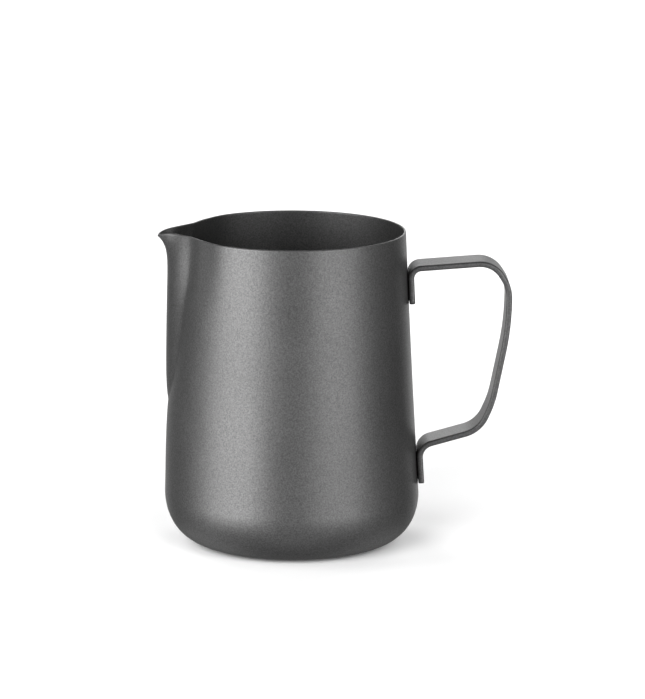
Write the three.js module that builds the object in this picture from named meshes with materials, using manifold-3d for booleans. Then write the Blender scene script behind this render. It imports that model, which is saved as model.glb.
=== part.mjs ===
// Milk frothing pitcher: a deep-drawn sheet body with a pressed pouring spout, and a handle bent from one
// flat strap, whose two tabs are spot-welded to the wall.
// Millimetres, +Z up. The origin is on the body's axis, in the plane that the base rests on.
// The spout points along -X and the handle along +X. Angles round the body are measured from the spout.
import * as THREE from "three";
import { LoftGeometry } from "three/addons/geometries/LoftGeometry.js";
import { mergeVertices } from "three/addons/utils/BufferGeometryUtils.js";
import Module from "manifold-3d";

const degrees = THREE.MathUtils.degToRad;

// Body, outside dimensions
const SHEET = 0.8;
const BODY_HEIGHT = 112.2;
const RIM_RADIUS = 39.75;
const FOOT_RADIUS = 45; // where the wall runs into the rounded bottom corner
const FOOT_HEIGHT = 18.25;
const WALL_HOLLOW = 0.22; // how far the middle of the wall lies inside a straight cone
const BASE_RADIUS = 28.2; // the flat round face that the body stands on
const CORNER_DROP = 5.2; // length of the corner curve's handle below the foot
const CORNER_REACH = 15.2; // length of its handle along the base
const FLOOR_CROWN = 0.1; // the middle of the floor keeps the sheet's full thickness
const FLOOR_CROWN_RADIUS = 16;

// Spout: a tongue-shaped patch pressed outwards, flared to a lip at the rim
const SPOUT_HALF_ANGLE = degrees(22.4);
const SPOUT_BOTTOM = 51.2;
const SPOUT_RISE = 4.3; // how far the ridge stands out of the wall
const SPOUT_RISE_LENGTH = 17.5; // height over which the ridge comes out
const RIDGE_SHARPNESS = 1.5; // higher values narrow the ridge
const LIP_SHARPENING_HEIGHT = 6; // the ridge narrows further within this height of the rim
const LIP_FLARE = 7.6; // extra reach of the lip, carried on to the rim plane
const LIP_HEIGHT = 3.3;
const LIP_HALF_ANGLE = degrees(6.2);
const TIP_DROP = 1.9; // how far the tip lies below the rim
const TIP_HALF_ANGLE = degrees(5.9);
const TIP_BLEND_HEIGHT = 20;
const GROOVE_DEPTH = 1.0; // hollow beside the spout, where the sheet is drawn in
const GROOVE_PLACE = 1.05; // as a share of the tongue's half width
const GROOVE_WIDTH = 0.3; // as a share of the tongue's half width
const GROOVE_BOTTOM = 82;
const GROOVE_TOP = 102;
const DRAW_IN = 1.1; // wide shallow hollow beyond the groove, where the rim is pulled towards the spout
const DRAW_IN_ANGLE = degrees(36);
const DRAW_IN_HALF_WIDTH = degrees(11);
const DRAW_IN_BOTTOM = 80;
const FULLNESS = 1.5; // soft swelling that the pressing leaves below the spout
const FULLNESS_HEIGHT = 46;
const FULLNESS_SPREAD = { below: 28, above: 19 };
const FULLNESS_HALF_ANGLE = degrees(32);

// Handle strap, given by its centreline
const STRAP_WIDTH = 14.5;
const STRAP_THICKNESS = 2;
const STRAP_EDGE_RADIUS = 0.55;
const TAB_GAP = 0.25; // between a tab and the wall, along the middle of the tab
const UPPER_TAB = { end: 86.6, top: 96 };
const LOWER_TAB = { end: 21.6, top: 32 };
const UPPER_ARM = { x: 55, z: 100.4, rise: degrees(4.35) };
const LOWER_ARM = { x: 55, z: 38.05, rise: degrees(15.8) };
const GRIP_X = 76.2;
const GRIP_BENDS = [
  { x: 76.2, z: 78.9, radius: 97 },
  { x: 70.7, z: 51.2, radius: 35 },
];
const LOWER_GRIP_RISE = degrees(65.8);
const UPPER_TAB_BEND = 3.6;
const SHOULDER_CUT = { back: 5.8, down: 9.3 }; // a short slanting run cuts off the upper corner
const SHOULDER_BENDS = [9, 13];
const LOWER_CORNER_BEND = 11.2;
const LOWER_TAB_BEND = 5.2;
const TAB_CORNER_RADIUS = 1.2;
const TAB_CORNER_ANGLES = [90, 60, 30, 0].map(degrees);

// Spot welds, two side by side on each tab
const WELD_DIAMETER = 3.6;
const WELD_OFFSET = 3.3; // from the middle of the tab
const WELD_DEPTH = 1.0; // how far a nugget reaches into the tab
const WELD_CLEARANCE = 0.12;
const WELD_HEIGHTS = { upper: 91, lower: 26.2 };
const DIMPLE_DIAMETER = 4.4;
const DIMPLE_DEPTH = 0.15;

// Fineness of the faceted surfaces
const BODY_SIDES = 88;
const SIDE_CROWDING = 0.62; // 0 spaces the sides evenly, higher values crowd them at the spout
const CORNER_RINGS = 7;
const WALL_RINGS = [
  { from: FOOT_HEIGHT, to: 46, count: 3 },
  { from: 46, to: 54, count: 4 }, // the crease at the foot of the spout
  { from: 54, to: 102, count: 6 },
  { from: 102, to: 111, count: 5 }, // the flare of the lip
];
const EDGE_STEPS = 4;
const STRAP_EDGE_STEPS = 2;
const BEND_STEP = degrees(11);
const LEAST_BEND_STEPS = 2;
const WELD_SIDES = 24;
const FRAME_STEP = 1e-4; // step for the slopes of the wall
const SAME_PLACE = 1e-4; // vertices closer than this are one

const wasm = await Module();
wasm.setup();

function gauss(value) {
  return Math.exp(-value * value);
}

// The unit vector at an angle.
function directed(angle) {
  return new THREE.Vector2(Math.cos(angle), Math.sin(angle));
}

// The outside radius of the wall at a height above the foot, before the spout is pressed.
function wallRadius(height) {
  const share = (BODY_HEIGHT - height) / (BODY_HEIGHT - FOOT_HEIGHT);
  const cone = THREE.MathUtils.lerp(RIM_RADIUS, FOOT_RADIUS, share);
  return cone - 4 * WALL_HOLLOW * share * (1 - share);
}

// The outline of the body from the edge of the flat base to the rim, as radius and height.
function bodyOutline() {
  const rimEdge = BODY_HEIGHT - SHEET / 2;
  const foot = new THREE.Vector2(FOOT_RADIUS, FOOT_HEIGHT);
  const rim = new THREE.Vector2(wallRadius(rimEdge), rimEdge);
  const middle = (rimEdge + FOOT_HEIGHT) / 2;
  const through = new THREE.Vector2(wallRadius(middle), middle);
  const control = through.multiplyScalar(2).sub(foot.clone().add(rim).multiplyScalar(0.5));
  const down = foot.clone().sub(control).setLength(CORNER_DROP).add(foot);
  const outline = new THREE.CurvePath();
  outline.add(
    new THREE.CubicBezierCurve(
      new THREE.Vector2(BASE_RADIUS, 0),
      new THREE.Vector2(BASE_RADIUS + CORNER_REACH, 0),
      down,
      foot,
    ),
  );
  outline.add(new THREE.QuadraticBezierCurve(foot, control, rim));
  return outline;
}

const [cornerCurve, wallCurve] = bodyOutline().curves;

// How far the tongue of the spout stands out of the wall at an angle from the spout and at a height.
function tongue(angle, height) {
  const across = angle / SPOUT_HALF_ANGLE;
  const down = (BODY_HEIGHT - height) / (BODY_HEIGHT - SPOUT_BOTTOM);
  const inside = 1 - across * across - down * down;
  if (inside <= 0 || height <= SPOUT_BOTTOM) {
    return 0;
  }
  const ridge = SPOUT_RISE * (1 - Math.exp((SPOUT_BOTTOM - height) / SPOUT_RISE_LENGTH));
  const sharpness = RIDGE_SHARPNESS + Math.exp((height - BODY_HEIGHT) / LIP_SHARPENING_HEIGHT);
  return ridge * Math.pow(inside / (1 - down * down), sharpness);
}

// How deep the wall is drawn in beside the top of the tongue.
function groove(angle, height) {
  const across = angle / SPOUT_HALF_ANGLE;
  const down = (BODY_HEIGHT - height) / (BODY_HEIGHT - SPOUT_BOTTOM);
  const fade = THREE.MathUtils.smoothstep(height, GROOVE_BOTTOM, GROOVE_TOP);
  return GROOVE_DEPTH * fade * gauss((Math.hypot(across, down) - GROOVE_PLACE) / GROOVE_WIDTH);
}

// How far the rim and the wall below it are pulled in beyond the groove.
function drawnIn(angle, height) {
  const fade = THREE.MathUtils.smoothstep(height, DRAW_IN_BOTTOM, BODY_HEIGHT);
  return DRAW_IN * fade * gauss((Math.abs(angle) - DRAW_IN_ANGLE) / DRAW_IN_HALF_WIDTH);
}

// How far the spout tool moves the wall outwards at an angle from the spout and at a height.
function pressing(angle, height) {
  const spread = height < FULLNESS_HEIGHT ? FULLNESS_SPREAD.below : FULLNESS_SPREAD.above;
  const belly = gauss((height - FULLNESS_HEIGHT) / spread) * gauss(angle / FULLNESS_HALF_ANGLE);
  const lip = Math.exp((height - BODY_HEIGHT) / LIP_HEIGHT) * gauss(angle / LIP_HALF_ANGLE);
  const outwards = tongue(angle, height) + FULLNESS * belly + LIP_FLARE * lip;
  return outwards - groove(angle, height) - drawnIn(angle, height);
}

// A point of the body's outside, from a point of its outline and an angle from the spout.
function outsidePoint(outlinePoint, angle) {
  const lift = Math.max(0, 1 - (BODY_HEIGHT - outlinePoint.y) / TIP_BLEND_HEIGHT);
  const height = outlinePoint.y - TIP_DROP * lift * lift * gauss(angle / TIP_HALF_ANGLE);
  const radius = outlinePoint.x + pressing(angle, height);
  return new THREE.Vector3(-radius * Math.cos(angle), -radius * Math.sin(angle), height);
}

// The outside at a share of a curve of the outline: its place, unit normal and upward tangent.
function outsideFrame(curve, share, angle) {
  const here = curve.getPoint(share);
  const low = curve.getPoint(Math.max(0, share - FRAME_STEP));
  const high = curve.getPoint(Math.min(1, share + FRAME_STEP));
  const up = outsidePoint(high, angle).sub(outsidePoint(low, angle)).normalize();
  const before = outsidePoint(here, angle - FRAME_STEP);
  const along = outsidePoint(here, angle + FRAME_STEP).sub(before);
  return { point: outsidePoint(here, angle), up, normal: along.cross(up).normalize() };
}

// One point of a ring of the shell, at a depth in the sheet and at a rise above the frame's place.
function shellPoint(curve, share, angle, depth, rise) {
  const { point, up, normal } = outsideFrame(curve, share, angle);
  return point.addScaledVector(normal, -depth).addScaledVector(up, rise);
}

// Angles of the body's sides, crowded towards the spout.
function sideAngles() {
  return Array.from({ length: BODY_SIDES }, (_, side) => {
    const turn = (2 * Math.PI * side) / BODY_SIDES;
    const angle = turn - SIDE_CROWDING * Math.sin(turn);
    return angle > Math.PI ? angle - 2 * Math.PI : angle;
  });
}

// Where the rings lie on the outline, from the base up, without the ring on the rim's edge.
function ringStations() {
  const rimEdge = BODY_HEIGHT - SHEET / 2;
  const stations = [];
  for (let ring = 0; ring < CORNER_RINGS; ring += 1) {
    stations.push({ curve: cornerCurve, share: ring / CORNER_RINGS });
  }
  WALL_RINGS.forEach(({ from, to, count }) => {
    for (let ring = 0; ring < count; ring += 1) {
      const height = from + ((to - from) * ring) / count;
      stations.push({ curve: wallCurve, share: (height - FOOT_HEIGHT) / (rimEdge - FOOT_HEIGHT) });
    }
  });
  return stations;
}

// The half-round edge of the rim, from the outside over the top to the inside.
function rimRings(angles) {
  const radius = SHEET / 2;
  return Array.from({ length: EDGE_STEPS + 1 }, (_, step) => {
    const turn = (Math.PI * step) / EDGE_STEPS;
    const depth = radius * (1 - Math.cos(turn));
    return angles.map((angle) => shellPoint(wallCurve, 1, angle, depth, radius * Math.sin(turn)));
  });
}

function floorRing(angles) {
  return angles.map((angle) => {
    const x = -FLOOR_CROWN_RADIUS * Math.cos(angle);
    return new THREE.Vector3(x, -FLOOR_CROWN_RADIUS * Math.sin(angle), SHEET + FLOOR_CROWN);
  });
}

function bodyShell() {
  const angles = sideAngles();
  const ring = ({ curve, share }, depth) => angles.map((angle) => shellPoint(curve, share, angle, depth, 0));
  const rings = (depth) => ringStations().map((station) => ring(station, depth));
  const sections = [...rings(0), ...rimRings(angles), ...rings(SHEET).reverse(), floorRing(angles)];
  return new LoftGeometry(sections, { capStart: true, capEnd: true });
}

// Where a line through one point meets a line through another, each given by its direction's angle.
function meeting(pointA, angleA, pointB, angleB) {
  const across = Math.sin(angleB - angleA);
  const gap = pointB.clone().sub(pointA);
  const reach = (gap.x * Math.sin(angleB) - gap.y * Math.cos(angleB)) / across;
  return pointA.clone().addScaledVector(directed(angleA), reach);
}

// The centreline of a tab: it lies along the wall, a small gap away.
function tabLine(tab) {
  const standoff = TAB_GAP + STRAP_THICKNESS / 2;
  const end = new THREE.Vector2(wallRadius(tab.end) + standoff, tab.end);
  const top = new THREE.Vector2(wallRadius(tab.top) + standoff, tab.top);
  return { end, angle: top.clone().sub(end).angle() };
}

// The slanting run between the upper arm and the grip, by its two ends.
function upperShoulder(arm, grip) {
  const peak = meeting(arm, UPPER_ARM.rise, grip, Math.PI / 2);
  const onArm = peak.clone().addScaledVector(directed(UPPER_ARM.rise), -SHOULDER_CUT.back);
  const onGrip = new THREE.Vector2(peak.x, peak.y - SHOULDER_CUT.down);
  return [
    { at: onArm, radius: SHOULDER_BENDS[0] },
    { at: onGrip, radius: SHOULDER_BENDS[1] },
  ];
}

// The corners of the strap's centreline in the XZ plane, each with its bend radius.
function strapCorners() {
  const upperTab = tabLine(UPPER_TAB);
  const lowerTab = tabLine(LOWER_TAB);
  const upperArm = new THREE.Vector2(UPPER_ARM.x, UPPER_ARM.z);
  const lowerArm = new THREE.Vector2(LOWER_ARM.x, LOWER_ARM.z);
  const lowerGrip = new THREE.Vector2(GRIP_BENDS[1].x, GRIP_BENDS[1].z);
  const grip = new THREE.Vector2(GRIP_X, 0);
  return [
    { at: upperTab.end },
    { at: meeting(upperTab.end, upperTab.angle, upperArm, UPPER_ARM.rise), radius: UPPER_TAB_BEND },
    ...upperShoulder(upperArm, grip),
    ...GRIP_BENDS.map(({ x, z, radius }) => ({ at: new THREE.Vector2(x, z), radius })),
    { at: meeting(lowerArm, LOWER_ARM.rise, lowerGrip, LOWER_GRIP_RISE), radius: LOWER_CORNER_BEND },
    { at: meeting(lowerTab.end, lowerTab.angle, lowerArm, LOWER_ARM.rise), radius: LOWER_TAB_BEND },
    { at: lowerTab.end },
  ];
}

// Stations along a line with rounded corners: each has a place and the line's direction there.
function roundedLine(corners) {
  const stations = [];
  const last = corners.length - 1;
  const runAngle = (i) => corners[i + 1].at.clone().sub(corners[i].at).angle();
  stations.push({ at: corners[0].at, heading: runAngle(0) });
  for (let i = 1; i < last; i += 1) {
    const { at, radius } = corners[i];
    const before = runAngle(i - 1);
    const after = runAngle(i);
    const turn = THREE.MathUtils.euclideanModulo(after - before + Math.PI, 2 * Math.PI) - Math.PI;
    const side = Math.sign(turn);
    const setback = radius * Math.tan(Math.abs(turn) / 2);
    const start = at.clone().addScaledVector(directed(before), -setback);
    const steps = Math.max(LEAST_BEND_STEPS, Math.ceil(Math.abs(turn) / BEND_STEP));
    const spoke = side * radius;
    const centre = start.addScaledVector(directed(before + Math.PI / 2), spoke);
    for (let step = 0; step <= steps; step += 1) {
      const heading = before + (turn * step) / steps;
      stations.push({ at: centre.clone().addScaledVector(directed(heading - Math.PI / 2), spoke), heading });
    }
  }
  stations.push({ at: corners[last].at, heading: runAngle(last - 1) });
  return stations;
}

// Stations that round the corners of a tab's end, from the end inwards.
function tabEndStations({ at, heading }, inwards) {
  return TAB_CORNER_ANGLES.map((angle) => {
    const narrowing = TAB_CORNER_RADIUS * (1 - Math.cos(angle));
    const distance = inwards * TAB_CORNER_RADIUS * (1 - Math.sin(angle));
    return { at: at.clone().addScaledVector(directed(heading), distance), heading, narrowing };
  });
}

// The section of the strap at a station: a flat bar with rounded corners.
function strapSection({ at, heading, narrowing = 0 }) {
  const quarter = Math.PI / 2;
  const half = STRAP_WIDTH / 2 - STRAP_EDGE_RADIUS - narrowing;
  const rise = STRAP_THICKNESS / 2 - STRAP_EDGE_RADIUS;
  const outline = new THREE.Path();
  outline.absarc(half, -rise, STRAP_EDGE_RADIUS, -quarter, 0, false);
  outline.absarc(half, rise, STRAP_EDGE_RADIUS, 0, quarter, false);
  outline.absarc(-half, rise, STRAP_EDGE_RADIUS, quarter, 2 * quarter, false);
  outline.absarc(-half, -rise, STRAP_EDGE_RADIUS, 2 * quarter, 3 * quarter, false);
  const normal = directed(heading + quarter);
  return outline
    .getPoints(STRAP_EDGE_STEPS)
    .map((point) => new THREE.Vector3(at.x + normal.x * point.y, point.x, at.y + normal.y * point.y));
}

function strapBlank() {
  const stations = roundedLine(strapCorners());
  const first = stations.shift();
  const last = stations.pop();
  const head = tabEndStations(first, 1);
  const tail = tabEndStations(last, -1).reverse();
  const sections = [...head, ...stations, ...tail].map(strapSection);
  return new LoftGeometry(sections, { capStart: true, capEnd: true });
}

// The same surface with one vertex at each place, so that its faces join up.
function joined(geometry) {
  const plain = new THREE.BufferGeometry();
  plain.setAttribute("position", geometry.getAttribute("position").clone());
  plain.setIndex(geometry.getIndex());
  return mergeVertices(plain, SAME_PLACE);
}

function solidOf(geometry) {
  const surface = joined(geometry);
  const vertProperties = new Float32Array(surface.getAttribute("position").array);
  const triVerts = new Uint32Array(surface.getIndex().array);
  return new wasm.Manifold(new wasm.Mesh({ numProp: 3, vertProperties, triVerts }));
}

function geometryOf(solid) {
  const { vertProperties, triVerts } = solid.getMesh();
  const geometry = new THREE.BufferGeometry();
  geometry.setAttribute("position", new THREE.BufferAttribute(vertProperties, 3));
  geometry.setIndex(new THREE.BufferAttribute(triVerts, 1));
  geometry.computeVertexNormals();
  return geometry;
}

// A round pin square to the wall at a weld: it runs from one distance outside the wall to another.
function weldPin(height, offset, diameter, from, to) {
  const radius = wallRadius(height);
  const turn = Math.asin(offset / radius);
  const slope = Math.atan2(wallRadius(height - 1) - wallRadius(height + 1), 2);
  const level = new THREE.Vector3(Math.cos(turn), Math.sin(turn), 0);
  const outwards = level.multiplyScalar(Math.cos(slope)).setZ(Math.sin(slope));
  const foot = new THREE.Vector3(radius * Math.cos(turn), offset, height);
  const pin = joined(new THREE.CylinderGeometry(diameter / 2, diameter / 2, to - from, WELD_SIDES));
  pin.applyQuaternion(new THREE.Quaternion().setFromUnitVectors(new THREE.Vector3(0, 1, 0), outwards));
  const middle = foot.addScaledVector(outwards, (from + to) / 2);
  return pin.translate(middle.x, middle.y, middle.z);
}

const WELDS = [
  { name: "spot_weld_upper_left", height: WELD_HEIGHTS.upper, offset: WELD_OFFSET },
  { name: "spot_weld_upper_right", height: WELD_HEIGHTS.upper, offset: -WELD_OFFSET },
  { name: "spot_weld_lower_left", height: WELD_HEIGHTS.lower, offset: WELD_OFFSET },
  { name: "spot_weld_lower_right", height: WELD_HEIGHTS.lower, offset: -WELD_OFFSET },
];

// The strap with a blind pocket for each weld nugget and a shallow electrode mark over it.
function strapHandle() {
  const nuggetEnd = TAB_GAP + WELD_DEPTH;
  const outerFace = TAB_GAP + STRAP_THICKNESS;
  return WELDS.reduce((strap, { height, offset }) => {
    const pocketDiameter = WELD_DIAMETER + 2 * WELD_CLEARANCE;
    const pocket = weldPin(height, offset, pocketDiameter, 0, nuggetEnd + WELD_CLEARANCE);
    const beyond = outerFace + STRAP_THICKNESS;
    const dimple = weldPin(height, offset, DIMPLE_DIAMETER, outerFace - DIMPLE_DEPTH, beyond);
    return strap.subtract(solidOf(pocket)).subtract(solidOf(dimple));
  }, solidOf(strapBlank()));
}

function coatedSteel() {
  return new THREE.MeshStandardMaterial({ color: 0x4b4b4d, roughness: 0.42, metalness: 0.75 });
}

function weldSteel() {
  return new THREE.MeshStandardMaterial({ color: 0x5c5a58, roughness: 0.6, metalness: 0.9 });
}

function named(name, geometry, material) {
  const mesh = new THREE.Mesh(geometry, material);
  mesh.name = name;
  return mesh;
}

function pitcher() {
  const group = new THREE.Group();
  group.add(named("body_shell", bodyShell(), coatedSteel()));
  group.add(named("strap_handle", geometryOf(strapHandle()), coatedSteel()));
  WELDS.forEach(({ name, height, offset }) => {
    const nugget = weldPin(height, offset, WELD_DIAMETER, WELD_CLEARANCE, TAB_GAP + WELD_DEPTH);
    group.add(named(name, nugget, weldSteel()));
  });
  return group;
}

export default pitcher();
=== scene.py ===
import math

import bpy
import numpy as np
from mathutils import Matrix, Vector


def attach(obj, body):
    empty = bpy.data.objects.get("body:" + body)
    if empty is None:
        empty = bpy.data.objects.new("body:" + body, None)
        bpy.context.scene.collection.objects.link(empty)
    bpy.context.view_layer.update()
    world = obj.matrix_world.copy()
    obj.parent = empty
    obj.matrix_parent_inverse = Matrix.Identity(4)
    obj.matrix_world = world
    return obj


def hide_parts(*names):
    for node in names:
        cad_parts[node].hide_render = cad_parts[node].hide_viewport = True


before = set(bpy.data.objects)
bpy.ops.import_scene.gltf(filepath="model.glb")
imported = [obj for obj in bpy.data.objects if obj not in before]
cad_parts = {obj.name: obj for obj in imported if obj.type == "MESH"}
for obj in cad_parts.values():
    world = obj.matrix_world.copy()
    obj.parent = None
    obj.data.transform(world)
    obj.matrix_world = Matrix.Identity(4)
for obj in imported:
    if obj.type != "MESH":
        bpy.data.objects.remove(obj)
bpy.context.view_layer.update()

# Millimetres, as in the CAD part: the body's axis is Z, the spout points along -X, the handle along +X.
MM = 0.001

# Body, outside dimensions
SHEET = 0.8
BODY_HEIGHT = 112.2
RIM_RADIUS = 39.75
FOOT_RADIUS = 45
FOOT_HEIGHT = 18.25
WALL_HOLLOW = 0.22
BASE_RADIUS = 28.2
CORNER_DROP = 5.2
CORNER_REACH = 15.2
FLOOR_CROWN = 0.1
RIM_EDGE = BODY_HEIGHT - SHEET / 2

# Spout
SPOUT_HALF_ANGLE = math.radians(22.4)
SPOUT_BOTTOM = 51.2
SPOUT_RISE = 4.3
SPOUT_RISE_LENGTH = 17.5
RIDGE_SHARPNESS = 1.5
LIP_SHARPENING_HEIGHT = 6
LIP_FLARE = 7.6
LIP_HEIGHT = 3.3
LIP_HALF_ANGLE = math.radians(6.2)
TIP_DROP = 1.9
TIP_HALF_ANGLE = math.radians(5.9)
TIP_BLEND_HEIGHT = 20
GROOVE_DEPTH = 1.0
GROOVE_PLACE = 1.05
GROOVE_WIDTH = 0.3
GROOVE_BOTTOM = 82
GROOVE_TOP = 102
DRAW_IN = 1.1
DRAW_IN_ANGLE = math.radians(36)
DRAW_IN_HALF_WIDTH = math.radians(11)
DRAW_IN_BOTTOM = 80
FULLNESS = 1.5
FULLNESS_HEIGHT = 46
FULLNESS_SPREAD_BELOW = 28
FULLNESS_SPREAD_ABOVE = 19
FULLNESS_HALF_ANGLE = math.radians(32)

# Handle strap, by its centreline
STRAP_WIDTH = 14.5
STRAP_THICKNESS = 2
TAB_GAP = 0.03  # the visual tabs close the gap that the solids keep
UPPER_TAB = (86.6, 96)
LOWER_TAB = (21.6, 32)
UPPER_ARM = ((55, 100.4), math.radians(4.35))
LOWER_ARM = ((55, 38.05), math.radians(15.8))
GRIP_X = 76.2
GRIP_BENDS = (((76.2, 78.9), 97), ((70.7, 51.2), 35))
LOWER_GRIP_RISE = math.radians(65.8)
UPPER_TAB_BEND = 3.6
SHOULDER_CUT = (5.8, 9.3)  # back along the arm, and down the grip
SHOULDER_BENDS = (9, 13)
LOWER_CORNER_BEND = 11.2
LOWER_TAB_BEND = 5.2
TAB_CORNER_RADIUS = 1.2
TAB_END_BREAK = 0.15
TAB_END_WEAR = 0.4
TAB_END_WEAR_LENGTH = 0.3
STRAP_EDGE_RADIUS = 0.75

# Spot welds, and the shallow electrode marks over them
WELD_DIAMETER = 3.6
WELD_OFFSET = 3.3
WELD_HEIGHTS = {"upper": 91, "lower": 26.2}
WELD_CLEARANCE = 0.02
WELD_EDGE_RISE = 0.03
WELD_FACE_RINGS = (0.25, 0.6, 0.9)  # shares of the nugget's radius
WELD_SHOULDER = 0.97
WELD_RIPPLES = ((3, 0.035), (7, 0.02))  # waves round the edge, and their size as a share of the radius
WELD_RIPPLE_PHASES = (0, 6)
DIMPLE_RADIUS = 2.2
DIMPLE_DEPTH = 0.15
DIMPLE_FLAT_SHARE = 0.72
OUTER_FACE_SHARE = 0.3

# Coating and weld textures: noise and flake scales in cells per metre, bump distances in metres
COAT_DARK = 0.142
COAT_LIGHT = 0.228
# lighter coating: painted highlight on the rim's edge, and wear at the tab ends
COAT_HIGHLIGHT_AND_WORN = 0.30
COAT_METALLIC = 0.85
COAT_ROUGHNESS = (0.44, 0.50)
HIGHLIGHT_AND_WEAR_SMOOTHING = 0.1
FLAKE_SCALE = 2600
FLAKE_TONE_SHARE = 0.35
FLAKE_HEIGHT_SHARE = 0.5
GRAIN_SCALE = 1900
CLOUD_SCALE = 28
CLOUD_TONE = (0.42, 0.58)
EDGE_PATCH_SCALE = 420
EDGE_PATCH_NOISE_RANGE = (0.35, 0.65)
EDGE_PATCHES = (0.35, 1.0)
COAT_BUMP_STRENGTH = 0.85
COAT_BUMP_DISTANCE = 0.00003
WELD_DARK = (0.20, 0.19, 0.18, 1)
WELD_LIGHT = (0.42, 0.40, 0.37, 1)
WELD_MOTTLE_SCALE = 900
WELD_ROUGHNESS = (0.45, 0.7)
WELD_BUMP_STRENGTH = 0.5
WELD_BUMP_DISTANCE = 0.00004
NOISE_RANGE = (0.3, 0.7)  # where nearly all of a noise texture's values lie
UNIT_RANGE = (0, 1)
CENTRED = (-0.5, 0.5)

# Camera: azimuth 0 looks along +Y; the distance is from the body's middle, in metres
CAMERA_AZIMUTH = math.radians(-0.84)
CAMERA_ELEVATION = math.radians(12.5)
CAMERA_ROLL = 0.0035
CAMERA_DISTANCE = 1.53
CAMERA_SENSOR = 36
CAMERA_LENS = 221.6
CAMERA_SHIFT = (0.0424, 0.0511)
CAMERA_CLIP = (0.05, 50)

# Lights, in metres and degrees: softboxes in a ring round the pitcher, low wide suns for the floor alone
SOFTBOX_DISTANCE = 0.9
SOFTBOX_ELEVATION = 4
SOFTBOX_HEIGHT = 0.85
BOUNCE_WIDTH = 0.8
BOUNCE_HEIGHT = 0.5
BOUNCE_ELEVATION = -50
FLOOR_SUN_ELEVATION = 25
FLOOR_SUN_SPREAD = 40
WORLD_LIGHT = 0.13
WORLD_SEEN = 1.0

# Floor
FLOOR_HALF_SIZE = 14
FLOOR_GREY = 0.9
FLOOR_ROUGHNESS = 0.9

# Fineness
BODY_SIDES = 360
SIDE_CROWDING = 0.55
EDGE_STEPS = 10
FRAME_STEP = 1e-4
CORNER_RINGS = 36
WALL_RINGS = ((46, 18), (57, 28), (100, 30), (RIM_EDGE, 34))  # up to each height, and how many
DISC_RINGS = 12
DISC_EDGE = 1.5
# spread of the painted highlight over the rim's rounded edge
RIM_HIGHLIGHT_SPREAD = 0.42
STRAIGHT_PITCH = 0.35
BEND_STEP = math.radians(2)
LEAST_BEND_STEPS = 6
SECTION_ARC_POINTS = 9
SECTION_FACE_POINTS = 41
WELD_SIDES = 48


def gauss(value):
    return np.exp(-value * value)


def smoothstep(value, low, high):
    share = np.clip((value - low) / (high - low), 0, 1)
    return share * share * (3 - 2 * share)


def wall_radius(height):
    """The outside radius at a height: a cone with a very slight hollow, without the spout."""
    share = (BODY_HEIGHT - height) / (BODY_HEIGHT - FOOT_HEIGHT)
    cone = RIM_RADIUS + (FOOT_RADIUS - RIM_RADIUS) * share
    return cone - 4 * WALL_HOLLOW * share * (1 - share)


WALL_FOOT = np.array([FOOT_RADIUS, FOOT_HEIGHT])
WALL_RIM = np.array([wall_radius(RIM_EDGE), RIM_EDGE])
WALL_MIDDLE = (RIM_EDGE + FOOT_HEIGHT) / 2
WALL_CONTROL = 2 * np.array([wall_radius(WALL_MIDDLE), WALL_MIDDLE]) - (WALL_FOOT + WALL_RIM) / 2
WALL_FALL = (WALL_FOOT - WALL_CONTROL) / np.linalg.norm(WALL_FOOT - WALL_CONTROL)
CORNER_HANDLE = WALL_FALL * CORNER_DROP + WALL_FOOT


def corner_curve(t):
    """The rounded bottom corner, from the flat base to the foot of the wall."""
    base_edge = np.array([BASE_RADIUS, 0])
    base_handle = np.array([BASE_RADIUS + CORNER_REACH, 0])
    points = (base_edge, base_handle, CORNER_HANDLE, WALL_FOOT)
    weights = ((1 - t) ** 3, 3 * t * (1 - t) ** 2, 3 * t * t * (1 - t), t**3)
    return sum(weight * point for weight, point in zip(weights, points))


def wall_curve(t):
    """The wall, from its foot to the edge of the rim."""
    return (1 - t) ** 2 * WALL_FOOT + 2 * t * (1 - t) * WALL_CONTROL + t * t * WALL_RIM


def tongue(angle, height):
    """The raised tongue of the spout, narrowing to a round point at its lower end."""
    across = angle / SPOUT_HALF_ANGLE
    down = (BODY_HEIGHT - height) / (BODY_HEIGHT - SPOUT_BOTTOM)
    inside = np.maximum(1 - across * across - down * down, 0)
    rise = SPOUT_RISE * (1 - np.exp(np.minimum(SPOUT_BOTTOM - height, 0) / SPOUT_RISE_LENGTH))
    sharpness = RIDGE_SHARPNESS + np.exp((height - BODY_HEIGHT) / LIP_SHARPENING_HEIGHT)
    width = np.maximum(1 - down * down, 1e-9)
    return np.where(height > SPOUT_BOTTOM, rise * (inside / width) ** sharpness, 0)


def groove(angle, height):
    """The soft groove that runs up the tongue's border to the rim."""
    across = angle / SPOUT_HALF_ANGLE
    down = (BODY_HEIGHT - height) / (BODY_HEIGHT - SPOUT_BOTTOM)
    fade = smoothstep(height, GROOVE_BOTTOM, GROOVE_TOP)
    return GROOVE_DEPTH * fade * gauss((np.hypot(across, down) - GROOVE_PLACE) / GROOVE_WIDTH)


def drawn_in(angle, height):
    """The wall pulled in on both sides of the spout, most at the rim."""
    fade = smoothstep(height, DRAW_IN_BOTTOM, BODY_HEIGHT)
    return DRAW_IN * fade * gauss((np.abs(angle) - DRAW_IN_ANGLE) / DRAW_IN_HALF_WIDTH)


def pressing(angle, height):
    """How far the spout tool moves the wall outwards."""
    spread = np.where(height < FULLNESS_HEIGHT, FULLNESS_SPREAD_BELOW, FULLNESS_SPREAD_ABOVE)
    belly = gauss((height - FULLNESS_HEIGHT) / spread) * gauss(angle / FULLNESS_HALF_ANGLE)
    lip = np.exp((height - BODY_HEIGHT) / LIP_HEIGHT) * gauss(angle / LIP_HALF_ANGLE)
    outwards = tongue(angle, height) + FULLNESS * belly + LIP_FLARE * lip
    return outwards - groove(angle, height) - drawn_in(angle, height)


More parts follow.
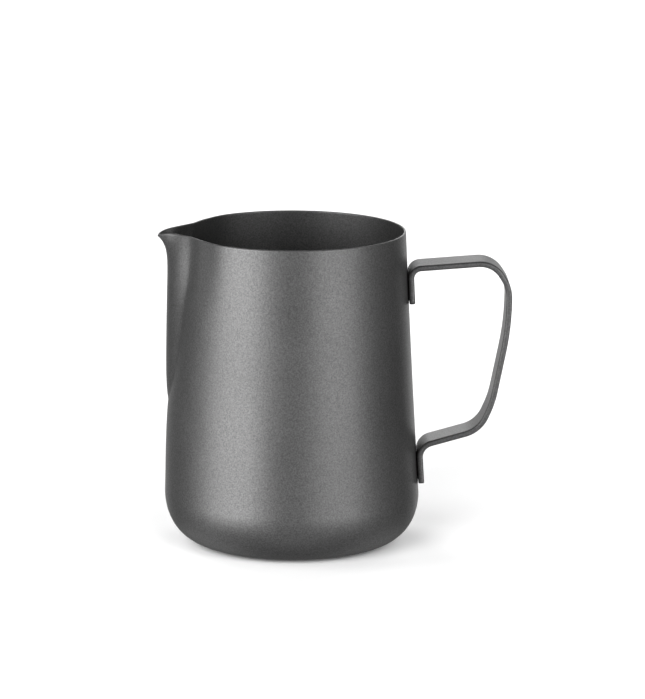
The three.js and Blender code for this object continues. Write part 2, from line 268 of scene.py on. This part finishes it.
def outside_points(outline_point, angles):
    """Places round the outside from one point of the outline, with the tip of the lip drawn down."""
    lift = max(0, 1 - (BODY_HEIGHT - outline_point[1]) / TIP_BLEND_HEIGHT)
    height = outline_point[1] - TIP_DROP * lift * lift * gauss(angles / TIP_HALF_ANGLE)
    radius = outline_point[0] + pressing(angles, height)
    return np.stack([-radius * np.cos(angles), -radius * np.sin(angles), height], axis=1)


def unit(vectors):
    return vectors / np.linalg.norm(vectors, axis=1, keepdims=True)


def outside_frame(curve, share, angles):
    """Places, unit normals and upward tangents of the outside, for one ring."""
    low = curve(max(0, share - FRAME_STEP))
    high = curve(min(1, share + FRAME_STEP))
    here = curve(share)
    up = unit(outside_points(high, angles) - outside_points(low, angles))
    along = outside_points(here, angles + FRAME_STEP) - outside_points(here, angles - FRAME_STEP)
    return outside_points(here, angles), unit(np.cross(along, up)), up


def side_angles():
    """Angles round the body from the spout, crowded towards it."""
    turn = 2 * math.pi * np.arange(BODY_SIDES) / BODY_SIDES
    angles = turn - SIDE_CROWDING * np.sin(turn)
    return np.where(angles > math.pi, angles - 2 * math.pi, angles)


def ring_stations():
    """Rings on the outline from the base up: fine in the corner, at the spout's crease and at the lip."""
    stations = [(corner_curve, step / CORNER_RINGS) for step in range(CORNER_RINGS)]
    low = FOOT_HEIGHT
    for high, count in WALL_RINGS:
        for height in np.linspace(low, high, count, endpoint=False):
            stations.append((wall_curve, (height - FOOT_HEIGHT) / (RIM_EDGE - FOOT_HEIGHT)))
        low = high
    return stations


def disc_rings(radii, height, angles, crown=0.0):
    """Rings across the flat base, or across the floor with its slight crown."""
    rings = []
    for radius in radii:
        rise = crown * (1 - (radius / BASE_RADIUS) ** 2)
        level = np.full_like(angles, height + rise)
        rings.append(np.stack([-radius * np.cos(angles), -radius * np.sin(angles), level], axis=1))
    return rings


def body_rings():
    """All rings of the shell, from the middle of the base, over the rim, to the middle of the floor."""
    angles = side_angles()
    flat = np.linspace(DISC_EDGE, BASE_RADIUS - DISC_EDGE, DISC_RINGS)
    stations = ring_stations()
    rings = disc_rings(flat, 0.0, angles)
    rings += [outside_frame(curve, share, angles)[0] for curve, share in stations]
    rim_start = len(rings)
    point, normal, up = outside_frame(wall_curve, 1, angles)
    for step in range(EDGE_STEPS + 1):
        turn = math.pi * step / EDGE_STEPS
        rings.append(point - normal * SHEET / 2 * (1 - math.cos(turn)) + up * SHEET / 2 * math.sin(turn))
    rim_end = len(rings)
    for curve, share in reversed(stations):
        place, normal, _ = outside_frame(curve, share, angles)
        rings.append(place - normal * SHEET)
    rings += disc_rings(flat[::-1], SHEET, angles, FLOOR_CROWN)
    return rings, rim_start, rim_end


def loft(name, rings):
    """One mesh through rings of points, all of one length, closed round and capped at both ends."""
    columns = len(rings[0])
    points = np.concatenate(rings) * MM
    rows = len(rings)
    index = np.arange(rows * columns).reshape(rows, columns)
    nxt = np.roll(index, -1, axis=1)
    quads = np.stack([index[:-1], nxt[:-1], nxt[1:], index[1:]], axis=2).reshape(-1, 4)
    faces = quads.tolist()
    faces.append(index[0][::-1].tolist())
    faces.append(index[-1].tolist())
    mesh = bpy.data.meshes.new(name)
    mesh.from_pydata(points.tolist(), [], faces)
    mesh.polygons.foreach_set("use_smooth", [True] * len(faces))
    piece = bpy.data.objects.new(name, mesh)
    bpy.context.scene.collection.objects.link(piece)
    return piece


def set_highlight_and_wear(piece, values):
    """Stores at each vertex how much lighter and smoother the coating is: a painted highlight on the rim's
    edge, wear at the tab ends.
    """
    attribute = piece.data.attributes.new("highlight_and_wear", "FLOAT", "POINT")
    attribute.data.foreach_set("value", np.asarray(values, np.float32))


def make_body():
    """The body, with a highlight painted along the edge of the rim as lighter, smoother coating."""
    rings, rim_start, rim_end = body_rings()
    piece = loft("body_visual", rings)
    highlight_and_wear = np.zeros((len(rings), BODY_SIDES))
    rim = np.arange(rim_start, rim_end)
    # painted highlight: lighter coating along the rim's rounded edge
    highlight_and_wear[rim] = gauss((rim - (rim_start + rim_end - 1) / 2) / (EDGE_STEPS * RIM_HIGHLIGHT_SPREAD))[:, None]
    set_highlight_and_wear(piece, highlight_and_wear.ravel())
    return piece


def directed(angle):
    return np.array([math.cos(angle), math.sin(angle)])


def angle_of(vector):
    return math.atan2(vector[1], vector[0])


def meeting(point_a, angle_a, point_b, angle_b):
    """Where two lines meet, each given by a point and an angle."""
    gap = np.subtract(point_b, point_a)
    reach = (gap[0] * math.sin(angle_b) - gap[1] * math.cos(angle_b)) / math.sin(angle_b - angle_a)
    return np.asarray(point_a) + directed(angle_a) * reach


def tab_line(tab):
    """A tab's free end and its direction towards the arm, on the strap's centreline."""
    standoff = TAB_GAP + STRAP_THICKNESS / 2
    end, top = (np.array([wall_radius(height) + standoff, height]) for height in tab)
    return end, angle_of(top - end)


def upper_shoulder():
    """The slanting run that cuts off the corner between the upper arm and the grip, by its two ends."""
    peak = meeting(*UPPER_ARM, (GRIP_X, 0), math.pi / 2)
    back, down = SHOULDER_CUT
    on_arm = peak - directed(UPPER_ARM[1]) * back
    on_grip = peak - (0, down)
    return [(on_arm, SHOULDER_BENDS[0]), (on_grip, SHOULDER_BENDS[1])]


def strap_corners():
    """The corners of the centreline from the upper tab to the lower one, each with its bend radius."""
    upper_end, upper_angle = tab_line(UPPER_TAB)
    lower_end, lower_angle = tab_line(LOWER_TAB)
    corners = [
        (upper_end, 0),
        (meeting(upper_end, upper_angle, *UPPER_ARM), UPPER_TAB_BEND),
        *upper_shoulder(),
    ]
    corners += [(np.array(place), radius) for place, radius in GRIP_BENDS]
    corners += [
        (meeting(*LOWER_ARM, GRIP_BENDS[1][0], LOWER_GRIP_RISE), LOWER_CORNER_BEND),
        (meeting(lower_end, lower_angle, *LOWER_ARM), LOWER_TAB_BEND),
        (lower_end, 0),
    ]
    return corners


def straight_stations(start, end, heading):
    """Evenly spaced places on a straight run, without its end."""
    count = max(1, int(np.linalg.norm(end - start) / STRAIGHT_PITCH))
    return [(start + (end - start) * step / count, heading) for step in range(count)]


def strap_stations():
    """Places and headings along the strap's centreline, close together on runs and bends alike."""
    corners = strap_corners()
    stations = []
    here = corners[0][0]
    for i in range(1, len(corners) - 1):
        at, radius = corners[i]
        before = angle_of(at - corners[i - 1][0])
        after = angle_of(corners[i + 1][0] - at)
        turn = (after - before + math.pi) % (2 * math.pi) - math.pi
        spoke = math.copysign(radius, turn)
        start = at - directed(before) * radius * math.tan(abs(turn) / 2)
        stations += straight_stations(here, start, before)
        centre = start + directed(before + math.pi / 2) * spoke
        steps = max(LEAST_BEND_STEPS, int(abs(turn) / BEND_STEP))
        for step in range(steps):
            heading = before + turn * step / steps
            stations.append((centre + directed(heading - math.pi / 2) * spoke, heading))
        here = centre + directed(after - math.pi / 2) * spoke
    end = corners[-1][0]
    stations += straight_stations(here, end, after)
    stations.append((end, after))
    return stations


def section_outline():
    """The strap's section as offsets across its width and out of its face: flat, with rounded corners."""
    radius = STRAP_EDGE_RADIUS
    half = STRAP_WIDTH / 2 - radius
    rise = STRAP_THICKNESS / 2 - radius
    arc = np.linspace(0, math.pi / 2, SECTION_ARC_POINTS)
    across = np.linspace(1, -1, SECTION_FACE_POINTS)[1:-1]
    upper = [(half + radius * math.cos(turn), rise + radius * math.sin(turn)) for turn in arc]
    lower = [(x, -y) for x, y in reversed(upper)]
    right = lower + [(STRAP_WIDTH / 2, 0)] + upper
    left = [(-x, -y) for x, y in right]
    top = [(half * share, STRAP_THICKNESS / 2) for share in across]
    bottom = [(-half * share, -STRAP_THICKNESS / 2) for share in across]
    return np.array(right + top + left + bottom)


def make_strap():
    """The handle: one strap with rounded tab ends and a shallow electrode mark over each weld."""
    stations = strap_stations()
    length = np.cumsum([0] + [np.linalg.norm(b[0] - a[0]) for a, b in zip(stations, stations[1:])])
    outline = section_outline()
    half = STRAP_WIDTH / 2 - STRAP_EDGE_RADIUS
    rings = []
    highlight_and_wear = []
    for (at, heading), run in zip(stations, length):
        from_end = min(run, length[-1] - run)
        round_off = max(0, TAB_CORNER_RADIUS - from_end)
        narrowing = TAB_CORNER_RADIUS - math.sqrt(max(0, TAB_CORNER_RADIUS**2 - round_off**2))
        break_off = max(0, TAB_END_BREAK - from_end)
        edge_break = TAB_END_BREAK - math.sqrt(max(0, TAB_END_BREAK**2 - break_off**2))
        thin = 1 - edge_break * 2 / STRAP_THICKNESS
        across = outline[:, 0] - np.clip(outline[:, 0] / half, -1, 1) * (narrowing + edge_break)
        out = outline[:, 1] * thin
        normal = directed(heading + math.pi / 2)
        points = np.stack([at[0] + normal[0] * out, across, at[1] + normal[1] * out], axis=1)
        rings.append(points)
        highlight_and_wear.append(np.full(len(outline), TAB_END_WEAR * math.exp(-from_end / TAB_END_WEAR_LENGTH)))
    rings = [press_dimples(ring, at) for ring, (at, _) in zip(rings, stations)]
    piece = loft("strap_visual", rings)
    set_highlight_and_wear(piece, np.concatenate(highlight_and_wear))
    return piece


def press_dimples(ring, at):
    """Pushes the tab's outer face in at the welds."""
    if at[0] > UPPER_ARM[0][0]:
        return ring
    for height in WELD_HEIGHTS.values():
        for offset in (-WELD_OFFSET, WELD_OFFSET):
            distance = np.hypot(ring[:, 1] - offset, at[1] - height)
            fade = smoothstep(distance, DIMPLE_RADIUS * DIMPLE_FLAT_SHARE, DIMPLE_RADIUS)
            depth = DIMPLE_DEPTH * (1 - fade)
            outer = ring[:, 0] > at[0] + STRAP_THICKNESS * OUTER_FACE_SHARE
            ring[:, 0] -= np.where(outer, depth, 0)
    return ring


def make_weld(name, height, offset):
    """A weld nugget: a low barrel between the wall and the tab, with a rough squeezed-out rim."""
    radius = wall_radius(height)
    turn = math.asin(offset / radius)
    slope = math.atan2(wall_radius(height - 1) - wall_radius(height + 1), 2)
    outwards = Vector((math.cos(turn) * math.cos(slope), math.sin(turn) * math.cos(slope), math.sin(slope)))
    rng = np.random.default_rng(int(height * 10 + offset))
    turns = 2 * math.pi * np.arange(WELD_SIDES) / WELD_SIDES
    rough = np.ones(WELD_SIDES)
    for waves, size in WELD_RIPPLES:
        rough = rough + size * np.sin(waves * turns + rng.uniform(*WELD_RIPPLE_PHASES))
    low = WELD_CLEARANCE
    high = TAB_GAP + radius * (1 - math.cos(turn)) - WELD_CLEARANCE
    profile = [(share, low) for share in WELD_FACE_RINGS]
    profile += [(WELD_SHOULDER, low + WELD_EDGE_RISE), (1.0, (low + high) / 2)]
    profile += [(share, low + high - level) for share, level in reversed(profile[:-1])]
    rings = []
    for share, level in profile:
        reach = WELD_DIAMETER / 2 * share * rough
        levels = np.full(WELD_SIDES, level)
        rings.append(np.stack([reach * np.cos(turns), reach * np.sin(turns), levels], axis=1))
    piece = loft(name, rings)
    place = Vector((radius * math.cos(turn), offset, height)) * MM
    piece.data.transform(Matrix.Translation(place) @ outwards.to_track_quat("Z", "Y").to_matrix().to_4x4())
    set_highlight_and_wear(piece, np.zeros(len(piece.data.vertices)))
    return piece


def new_material(name):
    material = bpy.data.materials.new(name)
    material.use_nodes = True
    nodes = material.node_tree.nodes
    return material, nodes, material.node_tree.links, nodes["Principled BSDF"]


def noise(nodes, links, coordinates, scale, detail):
    node = nodes.new("ShaderNodeTexNoise")
    node.inputs["Scale"].default_value = scale
    node.inputs["Detail"].default_value = detail
    links.new(coordinates, node.inputs["Vector"])
    return node.outputs["Fac"]


def remap(nodes, links, value, before, after):
    """Stretches a value's range, given as lowest and highest, to another."""
    node = nodes.new("ShaderNodeMapRange")
    node.inputs["From Min"].default_value, node.inputs["From Max"].default_value = before
    node.inputs["To Min"].default_value, node.inputs["To Max"].default_value = after
    links.new(value, node.inputs["Value"])
    return node.outputs["Result"]


def math_node(nodes, links, operation, first, second):
    node = nodes.new("ShaderNodeMath")
    node.operation = operation
    for socket, value in zip(node.inputs, (first, second)):
        if isinstance(value, (int, float)):
            socket.default_value = value
        else:
            links.new(value, socket)
    return node.outputs[0]


def mix_colour(nodes, links, factor, first, second):
    """Mixes two colours, by the mix node's colour sockets: inputs 6 and 7, and output 2."""
    node = nodes.new("ShaderNodeMix")
    node.data_type = "RGBA"
    sockets = (node.inputs["Factor"], node.inputs[6], node.inputs[7])
    for socket, value in zip(sockets, (factor, first, second)):
        if isinstance(value, tuple):
            socket.default_value = value
        else:
            links.new(value, socket)
    return node.outputs[2]


def grey(value):
    return (value, value, value, 1.0)


def add_bump(nodes, links, shader, height, strength, distance):
    bump = nodes.new("ShaderNodeBump")
    bump.inputs["Strength"].default_value = strength
    bump.inputs["Distance"].default_value = distance
    links.new(height, bump.inputs["Height"])
    links.new(bump.outputs["Normal"], shader.inputs["Normal"])


def coated_steel():
    """Dark charcoal metallic coating: bright and dark flakes, a slight orange peel, a painted highlight as
    lighter coating on the rim's edge, and wear at the tab ends.
    """
    material, nodes, links, shader = new_material("charcoal_coating")
    coordinates = nodes.new("ShaderNodeTexCoord").outputs["Object"]
    flakes = nodes.new("ShaderNodeTexVoronoi")
    flakes.inputs["Scale"].default_value = FLAKE_SCALE
    links.new(coordinates, flakes.inputs["Vector"])
    split = nodes.new("ShaderNodeSeparateColor")
    links.new(flakes.outputs["Color"], split.inputs["Color"])
    grain = noise(nodes, links, coordinates, GRAIN_SCALE, detail=2)
    cloud = noise(nodes, links, coordinates, CLOUD_SCALE, detail=3)
    flake_tone = remap(nodes, links, split.outputs["Red"], UNIT_RANGE, CENTRED)
    flake_tone = math_node(nodes, links, "MULTIPLY", flake_tone, FLAKE_TONE_SHARE)
    tone = math_node(nodes, links, "ADD", flake_tone, remap(nodes, links, grain, NOISE_RANGE, CENTRED))
    tone = math_node(nodes, links, "ADD", tone, remap(nodes, links, cloud, NOISE_RANGE, CLOUD_TONE))
    coat = mix_colour(nodes, links, tone, grey(COAT_DARK), grey(COAT_LIGHT))
    # painted highlight on the rim's edge and wear at the tab ends, both drawn as lighter, smoother coating
    highlight_and_wear = nodes.new("ShaderNodeAttribute")
    highlight_and_wear.attribute_name = "highlight_and_wear"
    patchy = noise(nodes, links, coordinates, EDGE_PATCH_SCALE, detail=3)
    patchy = remap(nodes, links, patchy, EDGE_PATCH_NOISE_RANGE, EDGE_PATCHES)
    highlight_and_worn = math_node(nodes, links, "MULTIPLY", highlight_and_wear.outputs["Fac"], patchy)
    colour = mix_colour(nodes, links, highlight_and_worn, coat, grey(COAT_HIGHLIGHT_AND_WORN))
    links.new(colour, shader.inputs["Base Color"])
    shader.inputs["Metallic"].default_value = COAT_METALLIC
    smoother = math_node(nodes, links, "MULTIPLY", highlight_and_worn, HIGHLIGHT_AND_WEAR_SMOOTHING)
    rough = remap(nodes, links, cloud, NOISE_RANGE, COAT_ROUGHNESS)
    links.new(math_node(nodes, links, "SUBTRACT", rough, smoother), shader.inputs["Roughness"])
    flake_height = math_node(nodes, links, "MULTIPLY", split.outputs["Green"], FLAKE_HEIGHT_SHARE)
    height = math_node(nodes, links, "ADD", grain, flake_height)
    add_bump(nodes, links, shader, height, COAT_BUMP_STRENGTH, COAT_BUMP_DISTANCE)
    return material


def weld_steel():
    """Bare fused steel: mottled and slightly heat-tinted."""
    material, nodes, links, shader = new_material("weld_steel")
    coordinates = nodes.new("ShaderNodeTexCoord").outputs["Object"]
    mottle = noise(nodes, links, coordinates, WELD_MOTTLE_SCALE, detail=4)
    tint = remap(nodes, links, mottle, NOISE_RANGE, UNIT_RANGE)
    colour = mix_colour(nodes, links, tint, WELD_DARK, WELD_LIGHT)
    links.new(colour, shader.inputs["Base Color"])
    shader.inputs["Metallic"].default_value = 1.0
    links.new(remap(nodes, links, mottle, NOISE_RANGE, WELD_ROUGHNESS), shader.inputs["Roughness"])
    add_bump(nodes, links, shader, mottle, WELD_BUMP_STRENGTH, WELD_BUMP_DISTANCE)
    return material


def finish_piece(piece, node, material):
    """Gives a piece its material, and puts it in its node's place."""
    piece.data.materials.append(material)
    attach(piece, "root")
    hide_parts(node)


def backwards(azimuth, elevation):
    """The direction from the pitcher to a camera or light. Azimuth 0 is the camera's side."""
    level = math.cos(elevation)
    return Vector((math.sin(azimuth) * level, -math.cos(azimuth) * level, math.sin(elevation)))


def facing(back):
    """The turn that points a camera or light against a direction."""
    return back.to_track_quat("Z", "Y").to_matrix().to_4x4()


def body_middle():
    return Vector((0, 0, BODY_HEIGHT / 2 * MM))


def make_camera():
    """Looks at the body's middle from slightly above, square to the handle."""
    back = backwards(CAMERA_AZIMUTH, CAMERA_ELEVATION)
    data = bpy.data.cameras.new("camera")
    data.sensor_fit = "AUTO"
    data.sensor_width = CAMERA_SENSOR
    data.lens = CAMERA_LENS
    data.shift_x, data.shift_y = CAMERA_SHIFT
    data.clip_start, data.clip_end = CAMERA_CLIP
    camera = bpy.data.objects.new("camera", data)
    place = Matrix.Translation(body_middle() + back * CAMERA_DISTANCE)
    camera.matrix_world = place @ facing(back) @ Matrix.Rotation(CAMERA_ROLL, 4, "Z")
    bpy.context.scene.collection.objects.link(camera)
    bpy.context.scene.camera = camera


def light_only(light, pieces):
    """Makes a light shine on the given pieces and on nothing else."""
    receivers = bpy.data.collections.new(f"{light.name}_receivers")
    for piece in pieces:
        receivers.objects.link(piece)
    light.light_linking.receiver_collection = receivers


def softbox(pitcher, name, azimuth, width, power, elevation=SOFTBOX_ELEVATION, height=SOFTBOX_HEIGHT):
    """A soft light in the ring round the pitcher, facing its middle."""
    back = backwards(math.radians(azimuth), math.radians(elevation))
    data = bpy.data.lights.new(name, "AREA")
    data.shape = "RECTANGLE"
    data.size = width
    data.size_y = height
    data.energy = power
    light = bpy.data.objects.new(name, data)
    light.matrix_world = Matrix.Translation(body_middle() + back * SOFTBOX_DISTANCE) @ facing(back)
    bpy.context.scene.collection.objects.link(light)
    light_only(light, pitcher)


def bounce(pitcher, name, azimuth, power):
    """A weak light from below, as from a white table."""
    softbox(pitcher, name, azimuth, BOUNCE_WIDTH, power, BOUNCE_ELEVATION, BOUNCE_HEIGHT)


def make_floor():
    """A plain white floor that fills the view. It throws no light or reflection back at the pitcher."""
    mesh = bpy.data.meshes.new("floor")
    half = FLOOR_HALF_SIZE
    corners = [(-half, -half, 0), (half, -half, 0), (half, half, 0), (-half, half, 0)]
    mesh.from_pydata(corners, [], [(0, 1, 2, 3)])
    floor = bpy.data.objects.new("floor", mesh)
    bpy.context.scene.collection.objects.link(floor)
    material, _, _, shader = new_material("floor_white")
    shader.inputs["Base Color"].default_value = grey(FLOOR_GREY)
    shader.inputs["Roughness"].default_value = FLOOR_ROUGHNESS
    mesh.materials.append(material)
    floor.visible_glossy = False
    floor.visible_diffuse = False
    floor.visible_shadow = False
    return floor


def make_world():
    """White surroundings for the camera, dim ones for the light."""
    world = bpy.data.worlds.new("studio")
    bpy.context.scene.world = world
    world.use_nodes = True
    nodes = world.node_tree.nodes
    links = world.node_tree.links
    background = nodes["Background"]
    path = nodes.new("ShaderNodeLightPath")
    strength = remap(nodes, links, path.outputs["Is Camera Ray"], UNIT_RANGE, (WORLD_LIGHT, WORLD_SEEN))
    links.new(strength, background.inputs["Strength"])
    background.inputs["Color"].default_value = grey(1)


def floor_sun(floor, name, azimuth, strength):
    """A very soft sun that lights the floor alone, and lets the pitcher shade it."""
    data = bpy.data.lights.new(name, "SUN")
    data.angle = math.radians(FLOOR_SUN_SPREAD)
    data.energy = strength
    light = bpy.data.objects.new(name, data)
    light.matrix_world = facing(backwards(math.radians(azimuth), math.radians(FLOOR_SUN_ELEVATION)))
    bpy.context.scene.collection.objects.link(light)
    light_only(light, [floor])


def light_pitcher(pitcher):
    """Each softbox by its azimuth, width and power."""
    softbox(pitcher, "key_outer", -70, 0.24, 2.9)
    softbox(pitcher, "key_inner", -44, 0.42, 4.6)
    softbox(pitcher, "fill_inner", 29, 0.2, 1.8)
    softbox(pitcher, "fill_outer", 51, 0.26, 2.0)
    softbox(pitcher, "rim_right", 155, 0.4, 1.2)
    softbox(pitcher, "rim_back", 177, 0.26, 1.5)
    softbox(pitcher, "rim_left", -160, 0.44, 0.8)
    bounce(pitcher, "bounce_front", 0, 0.3)
    bounce(pitcher, "bounce_left", -120, 0.5)
    bounce(pitcher, "bounce_right", 120, 0.4)


def light_floor(floor):
    """Each sun by its azimuth and strength."""
    floor_sun(floor, "floor_front_left", -30, 3.0)
    floor_sun(floor, "floor_front_right", 30, 2.55)
    floor_sun(floor, "floor_left", -90, 1.4)
    floor_sun(floor, "floor_right", 90, 0.4)
    floor_sun(floor, "floor_back_left", -150, 1.65)
    floor_sun(floor, "floor_back_right", 150, 1.0)


make_camera()
coating = coated_steel()
weld = weld_steel()
body = make_body()
strap = make_strap()
pitcher = [body, strap]
finish_piece(body, "body_shell", coating)
finish_piece(strap, "strap_handle", coating)
for side, offset in (("left", WELD_OFFSET), ("right", -WELD_OFFSET)):
    for level, height in WELD_HEIGHTS.items():
        node = f"spot_weld_{level}_{side}"
        pitcher.append(make_weld(f"{node}_visual", height, offset))
        finish_piece(pitcher[-1], node, weld)
make_world()
light_pitcher(pitcher)
light_floor(make_floor())
bpy.context.scene.view_settings.view_transform = "Standard"
